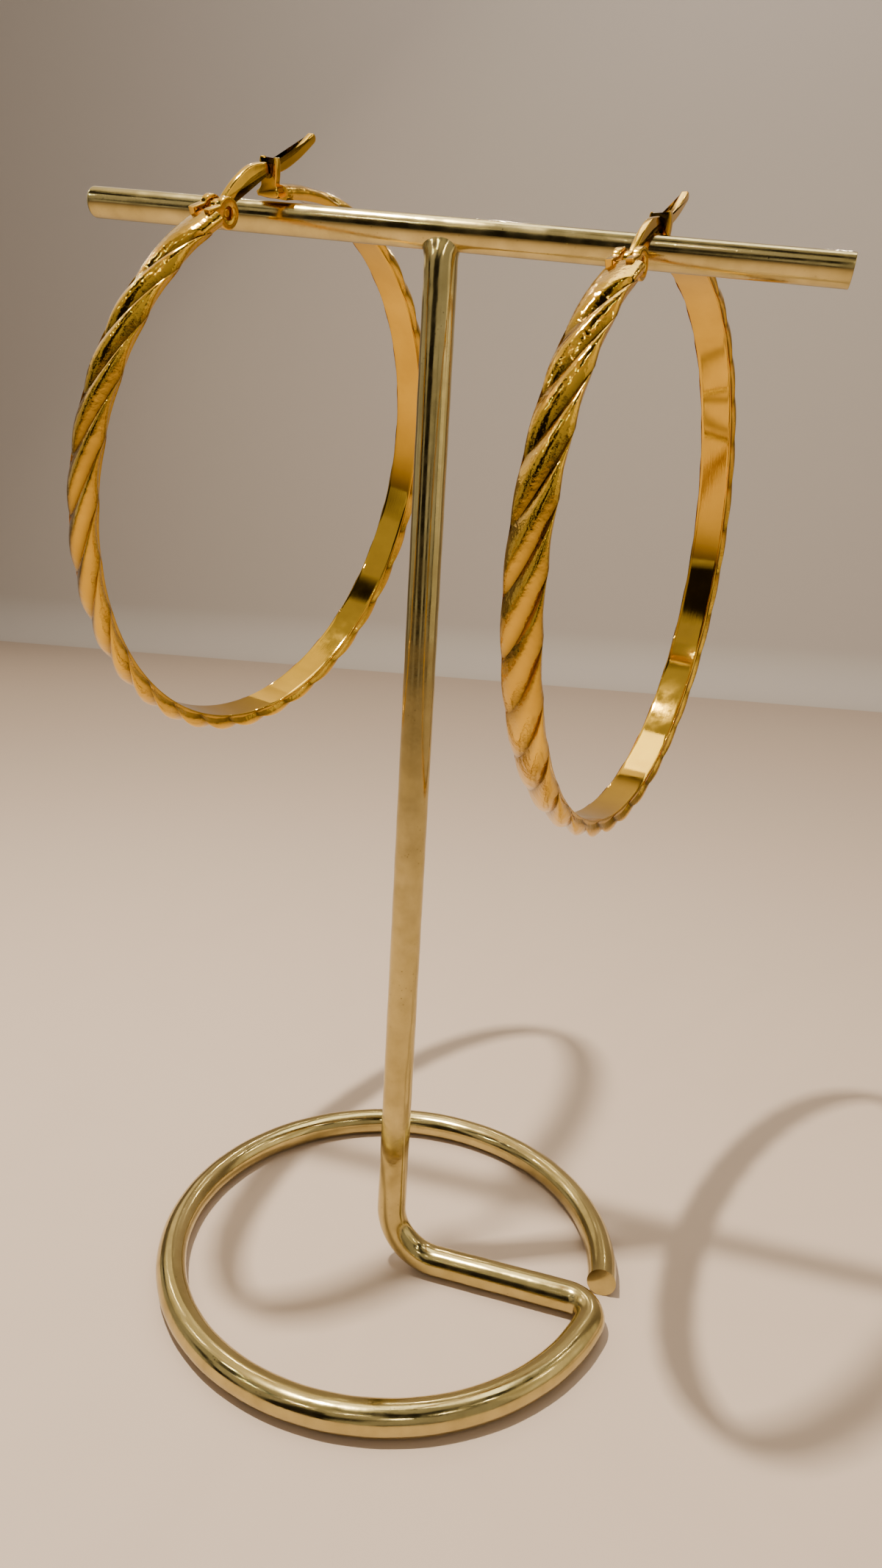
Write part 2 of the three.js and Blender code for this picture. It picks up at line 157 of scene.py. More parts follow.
# %% Measures of the stand
ROD_RADIUS = 2.0
RING_RADIUS = 30.6
RING_CENTRE = np.array([-0.8, 2.4])
RING_FREE_END_DEG = 2.0
FOLD_RADIUS = 3.4
SPOKE_TURN_DEG = -1.6
FOOT_BEND_RADIUS = 7.0
BAR_HEIGHT = 134.6
BAR_RADIUS = 1.75
BAR_LEFT_LENGTH = 46.4
BAR_RIGHT_LENGTH = 45.0
BAR_TILT = math.radians(6.7)
BAR_LINE = np.array([math.cos(BAR_TILT), 0.0, -math.sin(BAR_TILT)])
print("bar points along", BAR_LINE.round(3))

# %% [markdown]
# A hoop is an open circle of band. Its clasp is measured from the catch at the top: the
# hinge lies a lever's span away on nearly the same circle. The flutes are measured in
# degrees round the hoop, as a maker would step them off with dividers.

# %% Measures of a hoop and its clasp
HOOP_INNER_RADIUS = 34.15
BAND_WIDTH = 4.3
BAND_BULGE = 0.15
BAND_WALL = 0.6
BAND_CROWN = 1.75
CROWN_SKEW = 1.35
CROWN_HALF_WIDTH = BAND_WIDTH / 2 + BAND_BULGE
BAND_END_SHARE = 0.65
TAPER_DEG = 95.0
FLUTE_PITCH_DEG = 11.0
FLUTE_DEPTH = 0.8
FLUTE_EDGE_SHARE = 0.45
FLUTE_LEAN_DEG = 8.4
PLAIN_END_DEG = 4.5
FADE_DEG = 8.0
FORK_THICKNESS = 0.9
CATCH_DEG = 90.0
LEVER_SPAN = 9.13
HINGE_ABOVE_BAND = 0.4
HINGE_RADIUS = HOOP_INNER_RADIUS + HINGE_ABOVE_BAND
HINGE_FROM_CATCH_DEG = math.degrees(math.asin(LEVER_SPAN / HINGE_RADIUS))
HINGE_DEG = CATCH_DEG + HINGE_FROM_CATCH_DEG
EAR_RADIUS = 1.5
EAR_THICKNESS = 0.85
BAND_END_FROM_HINGE = 2.1
LEVER_WIDTH = 0.85
LEVER_THICKNESS = 1.3
LEVER_TIP_THICKNESS = 1.05
TIP_REACH = 8.3
TIP_RISE = 3.0
RIVET_RADIUS = 0.45
RIVET_RECESS = 0.3
FIT_GAP = 0.25
SEAT_GAP = 0.2
HINGE_UP = HINGE_RADIUS * math.sin(math.radians(HINGE_DEG))
HINGE_BACK = HINGE_RADIUS * math.cos(math.radians(HINGE_DEG))
LEVER_ABOVE_BAND = 3.0
LEVER_RADIUS = HOOP_INNER_RADIUS + LEVER_ABOVE_BAND
LEVER_RISE = LEVER_RADIUS - HINGE_UP
LEVER_UNDER_RADIUS = LEVER_RADIUS - LEVER_THICKNESS / 2
EAR_ACROSS = LEVER_WIDTH / 2 + FIT_GAP + EAR_THICKNESS / 2
HOLE_RADIUS = RIVET_RADIUS + FIT_GAP
print("hinge in the hoop's plane", round(HINGE_BACK, 3), round(HINGE_UP, 3))

# %% [markdown]
# ## How a hoop hangs
# Each hoop is drawn upright in its own plane: x runs across the band, y away from the
# viewer and z up, with the catch at the very top. It is then turned by three angles that
# were measured in the photograph, and lowered until it rests on the sloping bar.

# %% Turn and place of each hoop
def turn_about(axis, degrees):
    """The 3 by 3 matrix of a turn about one axis."""
    return np.array(Matrix.Rotation(math.radians(degrees), 3, axis))


def hanging(along_bar, yaw, lean, turn, bar_at, seat_radius, seat_half_width):
    """Turn, then the shift that puts the bar's middle line at angle bar_at of the hoop."""
    rotation = turn_about("Z", -yaw) @ turn_about("Y", lean) @ turn_about("X", turn)
    bar = rotation.T @ BAR_LINE
    out = np.array([0.0, math.cos(math.radians(bar_at)), math.sin(math.radians(bar_at))])
    climb = abs(bar @ out / bar[0])
    radius = seat_radius - SEAT_GAP - BAR_RADIUS / abs(bar[0]) - climb * seat_half_width
    shift = along_bar * BAR_LINE + [0, 0, BAR_HEIGHT] - rotation @ (radius * out)
    return rotation, shift


# Each line: place along the bar, yaw, lean, turn and the bar's angle, then the radius and
# half width of what rests on the bar.
HANGINGS = {
    "left": hanging(-21.2, 10.4, 14.3, 22.9, 88.7, HOOP_INNER_RADIUS, BAND_WIDTH / 2),
    "right": hanging(24.0, 13.4, 4.2, 17.6, 94.2, LEVER_UNDER_RADIUS, LEVER_WIDTH / 2),
}


def hinge_on_stand(side):
    """The rivet's middle, in the stand's own millimetres."""
    rotation, shift = HANGINGS[side]
    return rotation @ np.array([0.0, HINGE_BACK, HINGE_UP]) + shift


for side in HANGINGS:
    print(side, "hinge seen from the post's foot", hinge_on_stand(side).round(2))

# %% [markdown]
# The CAD model is centred on its box, so the post isn't at zero. The left rivet's solid
# tells where everything lies, and the right one shows whether the sums are right.

# %% Where the post stands
def box_middle(node):
    """The middle of a CAD node's box, in millimetres."""
    low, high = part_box(node)
    return (np.array(low) + np.array(high)) / 2 / MM


ORIGIN = box_middle("left_rivet") - hinge_on_stand("left")
print("post at", ORIGIN.round(3), "right rivet off by",
      (box_middle("right_rivet") - ORIGIN - hinge_on_stand("right")).round(4))


def on_hoop(side, points):
    """Points of a hoop's own plane, turned and shifted to where the hoop hangs."""
    rotation, shift = HANGINGS[side]
    return points @ rotation.T + shift + ORIGIN


# %% [markdown]
# ## The camera
# The place and the lens were worked out from the straight post and bar and from the
# circles of the ring and of both hoops. A short lens close by gives the strong
# foreshortening of a phone's picture.

# %% Camera
CAMERA_FROM_POST = np.array([33.77, -113.03, 93.95])
AIM_FROM_POST = np.array([3.675, -0.189, 70.371])
CAMERA_ROLL = math.radians(-3.326)
FOCAL_LENGTH = 21.475
SENSOR_WIDTH = 36.0
NEAREST_SEEN = 0.01

forward = unit(AIM_FROM_POST - CAMERA_FROM_POST)
level_right = unit(np.cross(forward, [0, 0, 1]))
level_down = np.cross(forward, level_right)
right = math.cos(CAMERA_ROLL) * level_right + math.sin(CAMERA_ROLL) * level_down
down = -math.sin(CAMERA_ROLL) * level_right + math.cos(CAMERA_ROLL) * level_down
turn = np.stack([right, -down, -forward], 1)
camera_data = bpy.data.cameras.new("camera")
camera_data.lens = FOCAL_LENGTH
camera_data.sensor_width = SENSOR_WIDTH
camera_data.clip_start = NEAREST_SEEN
camera = bpy.data.objects.new("camera", camera_data)
camera_place = Matrix.Translation((ORIGIN + CAMERA_FROM_POST) * MM)
camera.matrix_world = camera_place @ Matrix(turn.tolist()).to_4x4()
bpy.context.scene.collection.objects.link(camera)
bpy.context.scene.camera = camera
print("camera at", (ORIGIN + CAMERA_FROM_POST).round(2))

# %% [markdown]
# ## The rod of the stand
# One length of brass rod makes the open ring on the table, a tight fold, the spoke to the
# middle, a bend and the post. The path is a chain of arcs and straight lines, and a circle
# of points is carried along it. A curve object with a bevel could do it too, but here the
# radius may also change, for the dents and the pinched top that a real one has.

# %% Path of the rod
RING_STEP, FOLD_STEP = 1.0, 0.45
SPOKE_ROWS, BEND_ROWS, POST_ROWS = 26, 20, 150


def arc(centre, radius, start, stop, step):
    """Points on a level circle, and the direction of travel at each."""
    count = max(3, int(abs(stop - start) * radius / step))
    angle = np.linspace(start, stop, count, endpoint=False)
    points = np.stack([centre[0] + radius * np.cos(angle), centre[1] + radius * np.sin(angle),
                       np.full_like(angle, ROD_RADIUS)], -1)
    travel = np.stack([-np.sin(angle), np.cos(angle), 0 * angle], -1)
    return points, travel


def rod_path():
    """Ring, fold, spoke, bend and post: middle points, travel and level heading."""
    spoke = math.radians(SPOKE_TURN_DEG)
    along = np.array([math.cos(spoke), math.sin(spoke)])
    aside = np.array([math.sin(spoke), -math.cos(spoke)])
    start = aside * FOLD_RADIUS - RING_CENTRE
    b = start @ along
    reach = -b + math.sqrt(b * b - (start @ start - (RING_RADIUS - FOLD_RADIUS) ** 2))
    fold = along * reach + aside * FOLD_RADIUS
    touch = math.atan2(*(fold - RING_CENTRE)[::-1]) % (2 * math.pi)
    ring = arc(RING_CENTRE, RING_RADIUS, math.radians(RING_FREE_END_DEG), touch, RING_STEP)
    bow = arc(fold, FOLD_RADIUS, touch - 2 * math.pi, math.pi / 2 + spoke, FOLD_STEP)
    out = np.linspace(reach, FOOT_BEND_RADIUS, SPOKE_ROWS, endpoint=False)
    flat = np.stack([along[0] * out, along[1] * out, np.full_like(out, ROD_RADIUS)], -1)
    home = np.array([-along[0], -along[1], 0.0])
    quarter = np.linspace(0, math.pi / 2, BEND_ROWS, endpoint=False)
    back = FOOT_BEND_RADIUS * (1 - np.sin(quarter))
    bend = np.stack([along[0] * back, along[1] * back,
                     ROD_RADIUS + FOOT_BEND_RADIUS * (1 - np.cos(quarter))], -1)
    bend_travel = np.cos(quarter)[:, None] * home + np.sin(quarter)[:, None] * [0, 0, 1]
    height = np.linspace(ROD_RADIUS + FOOT_BEND_RADIUS, BAR_HEIGHT, POST_ROWS)
    post = np.stack([0 * height, 0 * height, height], -1)
    points = np.concatenate([ring[0], bow[0], flat, bend, post])
    travel = np.concatenate([ring[1], bow[1], np.tile(home, (len(flat), 1)), bend_travel,
                             np.tile([0.0, 0.0, 1.0], (len(post), 1))])
    straight = np.tile(home, (len(flat) + len(bend) + len(post), 1))
    return points, travel, np.concatenate([ring[1], bow[1], straight])


path, travel, heading = rod_path()
side_way = np.cross(heading, [0, 0, 1])
up_way = np.cross(side_way, travel)
rod_length = np.concatenate([[0], np.cumsum(np.linalg.norm(np.diff(path, axis=0), axis=1))])
print("rod length", round(rod_length[-1], 1), "mm in", len(path), "rows")

# %% [markdown]
# The cut end of the ring keeps a burr from the cutters, so its rim is lifted a little on
# the upper side. Just under the bar the rod is pinched, and its last millimetres flow out
# along the bar as a soldered joint does: wider along the bar and narrower across it.

# %% The rod's surface
ROD_COLUMNS = 44
WAVINESS, WAVE_RATE, WAVE_SWING, SWING_RATE = 0.012, 0.9, 1.3, 0.21
# Each dent: depth, distance below the top, length, angle round the rod, width of that angle.
DENTS = ((0.10, 5.4, 0.5, 4.2, 0.5), (0.08, 6.6, 0.45, 3.4, 0.6))
BURR_HEIGHT, BURR_LENGTH = 0.05, 0.25
PINCH_LENGTH, PINCH_WIDER, PINCH_NARROWER = 3.2, 0.55, 0.28

around = np.linspace(0, 2 * math.pi, ROD_COLUMNS, endpoint=False)
s, a = rod_length[:, None], around[None, :]
from_top = rod_length[-1] - s
radius = np.full((len(path), ROD_COLUMNS), ROD_RADIUS)
radius -= WAVINESS * (1 + np.sin(s * WAVE_RATE + WAVE_SWING * np.sin(s * SWING_RATE)))
for depth, below, long, at, wide in DENTS:
    radius -= depth * np.exp(-((from_top - below) / long) ** 2) * np.exp(-((a - at) / wide) ** 2)
radius += BURR_HEIGHT * np.exp(-(s / BURR_LENGTH) ** 2) * np.clip(np.sin(a), 0, 1)
joint = ease(from_top, PINCH_LENGTH, 0.0)
along_bar = 1 + PINCH_WIDER * joint ** 2
across_bar = 1 - PINCH_NARROWER * joint
rod_points = (path[:, None, :]
              + (radius * np.cos(a) * across_bar)[..., None] * side_way[:, None, :]
              + (radius * np.sin(a) * along_bar)[..., None] * up_way[:, None, :])
rod_quads, rod_caps = carried_faces(*rod_points.shape[:2])
ring_length = 2 * math.pi * ROD_RADIUS
rod_uv = carried_uv(rod_length, np.linspace(0, ring_length, ROD_COLUMNS + 1))
rod = metal_piece("stand_rod", rod_points.reshape(-1, 3) + ORIGIN, rod_quads, rod_caps, rod_uv)

# %% [markdown]
# ## The cross bar
# A straight rod with one rounded end and one end cut flat. It is a profile of distance and
# radius turned round the bar's line. Even the flat end's corner gets a tiny round, because
# a true knife edge never catches the light as real metal does.

# %% The bar's surface
BAR_LEFT_ROUND, BAR_RIGHT_ROUND = 0.5, 0.09
BAR_STEP, BAR_COLUMNS = 1.0, 48


def turned(profile, columns, middle, line, side, top):
    """Each profile row (distance along the line, radius) as a circle of points about the line."""
    angle = np.linspace(0, 2 * math.pi, columns, endpoint=False)
    spread = np.cos(angle)[:, None] * side + np.sin(angle)[:, None] * top
    return middle + profile[:, 0, None, None] * line + profile[:, 1, None, None] * spread[None]


def rounded_rod_profile(left, right, radius, left_round, right_round, step):
    """Quarter circle at each end with a straight run between, from one middle to the other."""
    q = np.linspace(0, math.pi / 2, 9)
    rim, drop = 1 - np.sin(q), 1 - np.cos(q)
    start = np.stack([left + left_round * rim, radius - left_round * drop], -1)[::-1]
    run = np.arange(left + left_round + step, right - right_round - step / 2, step)
    run = np.stack([run, np.full_like(run, radius)], -1)
    stop = np.stack([right - right_round * rim, radius - right_round * drop], -1)
    return np.concatenate([start, run, stop])


bar_profile = rounded_rod_profile(-BAR_LEFT_LENGTH, BAR_RIGHT_LENGTH, BAR_RADIUS,
                                  BAR_LEFT_ROUND, BAR_RIGHT_ROUND, BAR_STEP)
bar_middle, bar_side = ORIGIN + [0, 0, BAR_HEIGHT], np.array([0.0, 1.0, 0.0])
bar_points = turned(bar_profile, BAR_COLUMNS, bar_middle, BAR_LINE, bar_side, np.cross(BAR_LINE, bar_side))
bar_around = np.linspace(0, 2 * math.pi * BAR_RADIUS, BAR_COLUMNS + 1)
bar_uv = carried_uv(bar_profile[:, 0] + BAR_LEFT_LENGTH, bar_around)
bar = metal_piece("stand_bar", bar_points.reshape(-1, 3), *carried_faces(*bar_points.shape[:2]), bar_uv)

# %% [markdown]
# ## The fluted bands
# A band is flat inside and rounded outside, and its back is pressed into slanting flutes
# like a rope. The section is carried round the hoop, and each point is then pushed inwards
# by the absolute value of a sine, which gives full ridges and sharp valleys. Rows of points
# are slid along the hoop by the slant, so that a whole row lies in each valley and keeps
# it crisp.

# %% The band's section
BAND_RIM = 0.1
FLUTES_BEGIN = 0.12


def band_section():
    """Closed outline: across the band, height above the flat inside, and share of the flutes."""
    half, rim = BAND_WIDTH / 2, BAND_RIM
    q = np.linspace(0, math.pi / 2, 4)[1:-1]
    inside = np.linspace(-half + rim, half - rim, 13)
    corner_x, corner_h = half - rim + rim * np.sin(q), rim - rim * np.cos(q)
    wall = np.linspace(rim, BAND_WALL, 5)[:-1]
    crown = np.linspace(0, math.pi, 41)
    side = half + BAND_BULGE * wall / BAND_WALL
    crown_x, crown_h = CROWN_HALF_WIDTH * np.cos(crown), BAND_WALL + BAND_CROWN * np.sin(crown)
    across = np.concatenate([inside, corner_x, side, crown_x, -side[::-1], -corner_x[::-1]])
    height = np.concatenate([0 * inside, corner_h, wall, crown_h, wall[::-1], corner_h[::-1]])
    return across, height, ease(height, FLUTES_BEGIN, BAND_WALL)


section_x, section_h, section_share = band_section()
print("section has", len(section_x), "points, height", section_h.max())

# %% [markdown]
# The section now travels round the hoop from the catch to the hinge. The band grows
# thinner and plain towards both ends, where the clasp is soldered on. Two values go with
# each point: how deep it lies in a valley, which sets the painted shade there, and whether
# it is on the fluted back, which sets the hammered ripple.

# %% The band's surface
BAND_FAR_END_DEG = CATCH_DEG - math.degrees(FORK_THICKNESS / 4 / HOOP_INNER_RADIUS)
BAND_NEAR_END_DEG = HINGE_DEG + math.degrees(BAND_END_FROM_HINGE / HINGE_RADIUS)
BAND_START_DEG = BAND_FAR_END_DEG + 360
FLUTES = round((BAND_START_DEG - BAND_NEAR_END_DEG) / FLUTE_PITCH_DEG)
ROWS_PER_FLUTE = 22


def band_surface():
    """Point = inner radius + height - depth*(1 - |sin|), at an angle slid by the slant."""
    rows = FLUTES * ROWS_PER_FLUTE + 1
    angle = np.linspace(BAND_START_DEG, BAND_NEAR_END_DEG, rows)[:, None]
    from_end = np.minimum(angle - BAND_NEAR_END_DEG, BAND_START_DEG - angle)
    strength = ease(from_end, PLAIN_END_DEG, PLAIN_END_DEG + FADE_DEG) * section_share
    tall = blend(BAND_END_SHARE, 1.0, ease(from_end, 0, TAPER_DEG))
    ridge = np.abs(np.sin(np.arange(rows) * math.pi / ROWS_PER_FLUTE))[:, None]
    middle = np.sqrt(np.clip(1 - (section_x / CROWN_HALF_WIDTH) ** 2, 0, 1))
    depth = FLUTE_DEPTH * blend(FLUTE_EDGE_SHARE, 1.0, middle)
    raised = section_h * blend(1.0, tall, section_share) - depth * (1 - ridge) * strength
    slid = np.radians(angle - FLUTE_LEAN_DEG * strength * section_x / CROWN_HALF_WIDTH)
    reach = HOOP_INNER_RADIUS + raised
    across = section_x + CROWN_SKEW * tall * np.clip(section_h - BAND_WALL, 0, None) / BAND_CROWN
    points = np.stack([across, reach * np.cos(slid), reach * np.sin(slid)], -1)
    # The groove value later darkens the valleys with painted shade.
    marks = {"groove": np.broadcast_to((1 - ridge) ** 2 * strength, reach.shape),
             "back": np.broadcast_to(section_share, reach.shape)}
    return points, marks


band_points, band_marks = band_surface()
band_rows, band_columns = band_points.shape[:2]
band_along = np.linspace(0, math.radians(BAND_START_DEG - BAND_NEAR_END_DEG) * HOOP_INNER_RADIUS, band_rows)
band_around = np.concatenate([[0], np.cumsum(np.hypot(np.diff(section_x, append=section_x[0]),
                                                      np.diff(section_h, append=section_h[0])))])
band_uv = carried_uv(band_along, band_around)
bands = {side: metal_piece(side + "_band", on_hoop(side, band_points.reshape(-1, 3)),
                           *carried_faces(band_rows, band_columns), band_uv, band_marks)
         for side in HANGINGS}

# %% [markdown]
# ## Flat clasp pieces
# The forked catch, the hinge ears and the lever are all cut from plate and filed round at
# their edges. So one helper makes them: it carries an outline through the plate's
# thickness and draws it in by a quarter circle near both faces. A bevel modifier would
# also do it, but on such a small curved outline its corners tend to cross.

# %% Outlines with rounded edges
PLATE_CREASE_DEG, CATCH_CREASE_DEG = 50, 60


def cut_corners(outline, times):
    """Corner cutting: each corner becomes two points, a quarter along each of its sides."""
    for _ in range(times):
        after = np.roll(outline, -1, axis=0)
        outline = np.stack([blend(outline, after, 0.25), blend(outline, after, 0.75)], 1).reshape(-1, 2)
    return outline


def inward(outline):
    """At each point, the way into the plate: the travel of a counter-clockwise outline turned left."""
    travel = unit(np.roll(outline, -1, axis=0) - np.roll(outline, 1, axis=0))
    return np.stack([-travel[:, 1], travel[:, 0]], -1)


def plate_rows(outline, thickness, rim):
    """The outline at each level through the plate, drawn in by a quarter circle near its faces."""
    q = np.linspace(0, math.pi / 2, 5)
    draw = rim * (1 - np.sin(q))
    level = thickness / 2 - rim * (1 - np.cos(q))
    draw, level = np.concatenate([draw, draw[::-1]]), np.concatenate([-level, level[::-1]])
    rows = outline + draw[:, None, None] * inward(outline)
    return rows, level


square = np.array([[0, 0], [1, 0], [1, 1], [0, 1.0]])
print("a square after two cuts has", len(cut_corners(square, 2)), "points")

# %% [markdown]
# ## The forked catch
# A small plate stands across the end of the band, with a notch between two horns that
# holds the lever. Its foot is flared where it is soldered on. One fault is left: at the
# narrow horn tips the drawn-in outline crosses itself, and because of it the triangles of
# each flat face also cover the notch. With a rim of 0.1 mm the outline doesn't cross.

# %% The catch
FORK_OUTLINE = np.array([
    [1.46, 0.04], [1.53, 0.7], [1.25, 1.0], [1.04, 1.35], [1.24, 2.4], [1.28, 3.3], [1.18, 4.0],
    [0.98, 4.17], [0.76, 3.9], [0.685, 3.3], [0.685, 2.55], [0.4, 2.12]]) + [0, HOOP_INNER_RADIUS]
CATCH_RIM = 0.14
FOOT_SPREAD, FOOT_HEIGHT, FOOT_FADE = 0.3, 1.2, 0.8
fork_outline = cut_corners(np.concatenate([FORK_OUTLINE, FORK_OUTLINE[::-1] * [-1, 1]]), 2)


def fork_points():
    """Outline in x and z, thickness along y, with the foot a little thicker where solder gathers."""
    rows, level = plate_rows(fork_outline, FORK_THICKNESS, CATCH_RIM)
    foot = 1 + FOOT_SPREAD * ease(HOOP_INNER_RADIUS + FOOT_HEIGHT - rows[..., 1], 0, FOOT_FADE)
    return np.stack([rows[..., 0], level[:, None] * foot, rows[..., 1]], -1)


forks = {side: metal_piece(side + "_catch", on_hoop(side, fork_points().reshape(-1, 3)),
                           *carried_faces(*fork_points().shape[:2]), crease_deg=CATCH_CREASE_DEG)
         for side in HANGINGS}

# %% [markdown]
# ## The hinge ears
# Two flat ears with a round end and a drilled hole carry the rivet. A hole means that the
# plate has an inner and an outer outline with as many points each, so it is carried round
# as a closed loop: out through the plate, back through the hole.

# %% Plates with a hole
HOLE_LEVELS = np.array([1.0, 0.85, -0.85, -1.0])
HOLE_FLARE = np.array([1.08, 1.0, 1.0, 1.08])


def holed_plate(outline, hole_radius, thickness, rim):
    """Rows: outer outline through the thickness, then the hole's circle back again."""
    outer, outer_level = plate_rows(outline, thickness, rim)
    angle = np.arctan2(outline[:, 1], outline[:, 0])
    circle = hole_radius * np.stack([np.cos(angle), np.sin(angle)], -1)
    inner = circle[None] * HOLE_FLARE[:, None, None]
    rows = np.concatenate([outer, inner])
    level = np.concatenate([outer_level, HOLE_LEVELS * thickness / 2])
    return rows, level


def loop_faces(rows, columns):
    """Quads that wrap round both ways, for a plate with a hole."""
    i, j = np.meshgrid(np.arange(rows), np.arange(columns), indexing="ij")
    n, k = (i + 1) % rows, (j + 1) % columns
    row, after = i * columns, n * columns
    return np.stack([row + j, row + k, after + k, after + j], -1).reshape(-1, 4)


def star_outline(radius_at, count):
    """Counter-clockwise outline from its distance to the hole's middle at each angle."""
    angle = np.linspace(-math.pi, math.pi, count, endpoint=False)
    return radius_at(angle)[:, None] * np.stack([np.cos(angle), np.sin(angle)], -1)


EAR_FULLER = 0.12
EAR_EYE_RADIUS = EAR_RADIUS + EAR_FULLER
EAR_RIM, EAR_POINTS = 0.12, 120
NECK_LENGTH = 3.0
NECK_TOP, NECK_TOP_SLOPE = 1.1, 0.1
NECK_LOW, NECK_LOW_SLOPE = 1.05, 0.36


def to_line(distance, facing, least=0.02, out_of_sight=99.0):
    """How far a straight edge lies along a ray: its distance over the ray's share towards it."""
    return np.where(facing > least, distance / np.maximum(facing, least), out_of_sight)


def ear_reach(angle):
    """The farther of the round end and of the neck's straight box, seen from the rivet."""
    c, s = np.cos(angle), np.sin(angle)
    top = to_line(NECK_TOP, s + NECK_TOP_SLOPE * c)
    low = to_line(NECK_LOW, -s - NECK_LOW_SLOPE * c)
    neck = np.minimum(np.minimum(to_line(NECK_LENGTH, -c), top), low)
    return np.where(c < 0, np.maximum(EAR_EYE_RADIUS, neck), EAR_EYE_RADIUS)


EAR_OUTLINE = star_outline(ear_reach, EAR_POINTS)
tangent = math.radians(HINGE_FROM_CATCH_DEG)


def ear_points(across):
    """Outline turned along the hoop at the hinge, thickness across the band."""
    rows, level = holed_plate(EAR_OUTLINE, HOLE_RADIUS, EAR_THICKNESS, EAR_RIM)
    y = HINGE_BACK + rows[..., 0] * math.cos(tangent) - rows[..., 1] * math.sin(tangent)
    z = HINGE_UP + rows[..., 0] * math.sin(tangent) + rows[..., 1] * math.cos(tangent)
    return np.stack([np.broadcast_to(across + level[:, None], y.shape), y, z], -1)


ears = []
for side in HANGINGS:
    for place, across in (("inner", EAR_ACROSS), ("outer", -EAR_ACROSS)):
        points = ear_points(across)
        ears.append(metal_piece(f"{side}_{place}_ear", on_hoop(side, points.reshape(-1, 3)),
                                loop_faces(*points.shape[:2]), [], crease_deg=PLATE_CREASE_DEG))

# %% [markdown]
# ## The rivets
# A plain pin goes through both ears and the lever's eye. Its ends lie a little below the
# ears' faces, so that each eye shows a small dark hole. It is a profile turned round the
# hinge's line, like the bar.

# %% Rivets
PIN_ROUND, PIN_STEP, PIN_COLUMNS = 0.14, 0.3, 28


def pin_points():
    """A short rod along x through the hinge, with its rims rounded."""
    half = EAR_ACROSS + EAR_THICKNESS / 2 - RIVET_RECESS
    profile = rounded_rod_profile(-half, half, RIVET_RADIUS, PIN_ROUND, PIN_ROUND, PIN_STEP)
    across, away, up = np.eye(3)
    return turned(profile, PIN_COLUMNS, np.array([0, HINGE_BACK, HINGE_UP]), across, away, up)


rivets = {side: metal_piece(side + "_pin", on_hoop(side, pin_points().reshape(-1, 3)),
                            *carried_faces(*pin_points().shape[:2]))
          for side in HANGINGS}

# %% [markdown]
# ## The levers
# From its eye on the rivet the lever arches up, lies level in the fork and flicks up to a
# round tip. Its middle line is a smooth curve through ten points, each given as shares of
# the span and the rise up to the catch, and then of the reach and the rise of the tip.

# %% The lever's middle line
ROWS_PER_SPAN = 24
LEVER_SHARES = np.array([
    [0.0, 0.0, 0, 0], [0.19, 0.38, 0, 0], [0.37, 0.68, 0, 0], [0.6, 0.94, 0, 0], [0.82, 1.01, 0, 0],
    [1.0, 1.0, 0, 0], [1.0, 1.0, 0.25, 0.08], [1.0, 1.0, 0.52, 0.33], [1.0, 1.0, 0.76, 0.64],
    [1.0, 1.0, 1.0, 1.0]])


def smooth_line(knots, per_span):
    """Catmull-Rom curve: cubic through the knots, its slope at one set by its two neighbours."""
    padded = np.concatenate([knots[:1], knots, knots[-1:]])
    t = np.linspace(0, 1, per_span, endpoint=False)[None, :, None]
    p0, p1, p2, p3 = (padded[k:len(padded) - 3 + k][:, None, :] for k in range(4))
    v0, v1 = (p2 - p0) / 2, (p3 - p1) / 2
    cubed, squared = 2 * p1 - 2 * p2 + v0 + v1, -3 * p1 + 3 * p2 - 2 * v0 - v1
    curve = cubed * t ** 3 + squared * t ** 2 + v0 * t + p1
    return np.concatenate([curve.reshape(-1, 2), knots[-1:]])


lever_knots = np.stack([LEVER_SHARES[:, 0] * LEVER_SPAN + LEVER_SHARES[:, 2] * TIP_REACH,
                        LEVER_SHARES[:, 1] * LEVER_RISE + LEVER_SHARES[:, 3] * TIP_RISE], -1)
lever_line = smooth_line(lever_knots, ROWS_PER_SPAN)
lever_run = np.concatenate([[0], np.cumsum(np.linalg.norm(np.diff(lever_line, axis=0), axis=1))])
print("lever is", round(lever_run[-1], 2), "mm long")

# %% [markdown]
# The lever is an arm cut from plate and a drilled eye, two pieces that ride together. The
# arm's outline keeps half the thickness on both sides of the middle line and closes in a
# half circle at the tip. Rows are packed closer there, so that the tip looks round. The
# fault of the catch is here too: drawn in, the outline crosses itself by the eye and at
# the tip, and the triangles of the flat faces also cover the hollows of its curve.

# %% The lever's arm and eye
ARM_ROWS, TIP_ROWS, TIP_ZONE = 110, 12, 0.5
ARM_RIM, EYE_RIM = 0.2, 0.1
EYE_POINTS, EYE_THINNER = 72, 0.04


def lever_outline():
    """Counter-clockwise: lower side out to the tip, then the upper side back."""
    where = np.linspace(HOLE_RADIUS + FIT_GAP, lever_run[-1], ARM_ROWS)
    closer = TIP_ZONE * (1 - np.sin(np.linspace(0, math.pi / 2, TIP_ROWS)))
    where = np.concatenate([where[:-1], lever_run[-1] - closer[:-1]])
    where = np.unique(np.round(where, 5))
    middle = np.stack([np.interp(where, lever_run, lever_line[:, axis]) for axis in (0, 1)], -1)
    way = unit(np.gradient(middle, where, axis=0))
    full = blend(LEVER_THICKNESS, LEVER_TIP_THICKNESS, where / lever_run[-1]) / 2
    left_over = lever_run[-1] - where
    half = np.where(left_over < full, np.sqrt(np.clip(full ** 2 - (full - left_over) ** 2, 0, None)), full)
    aside = np.stack([-way[:, 1], way[:, 0]], -1) * half[:, None]
    return np.concatenate([middle - aside, (middle + aside)[::-1][1:]])


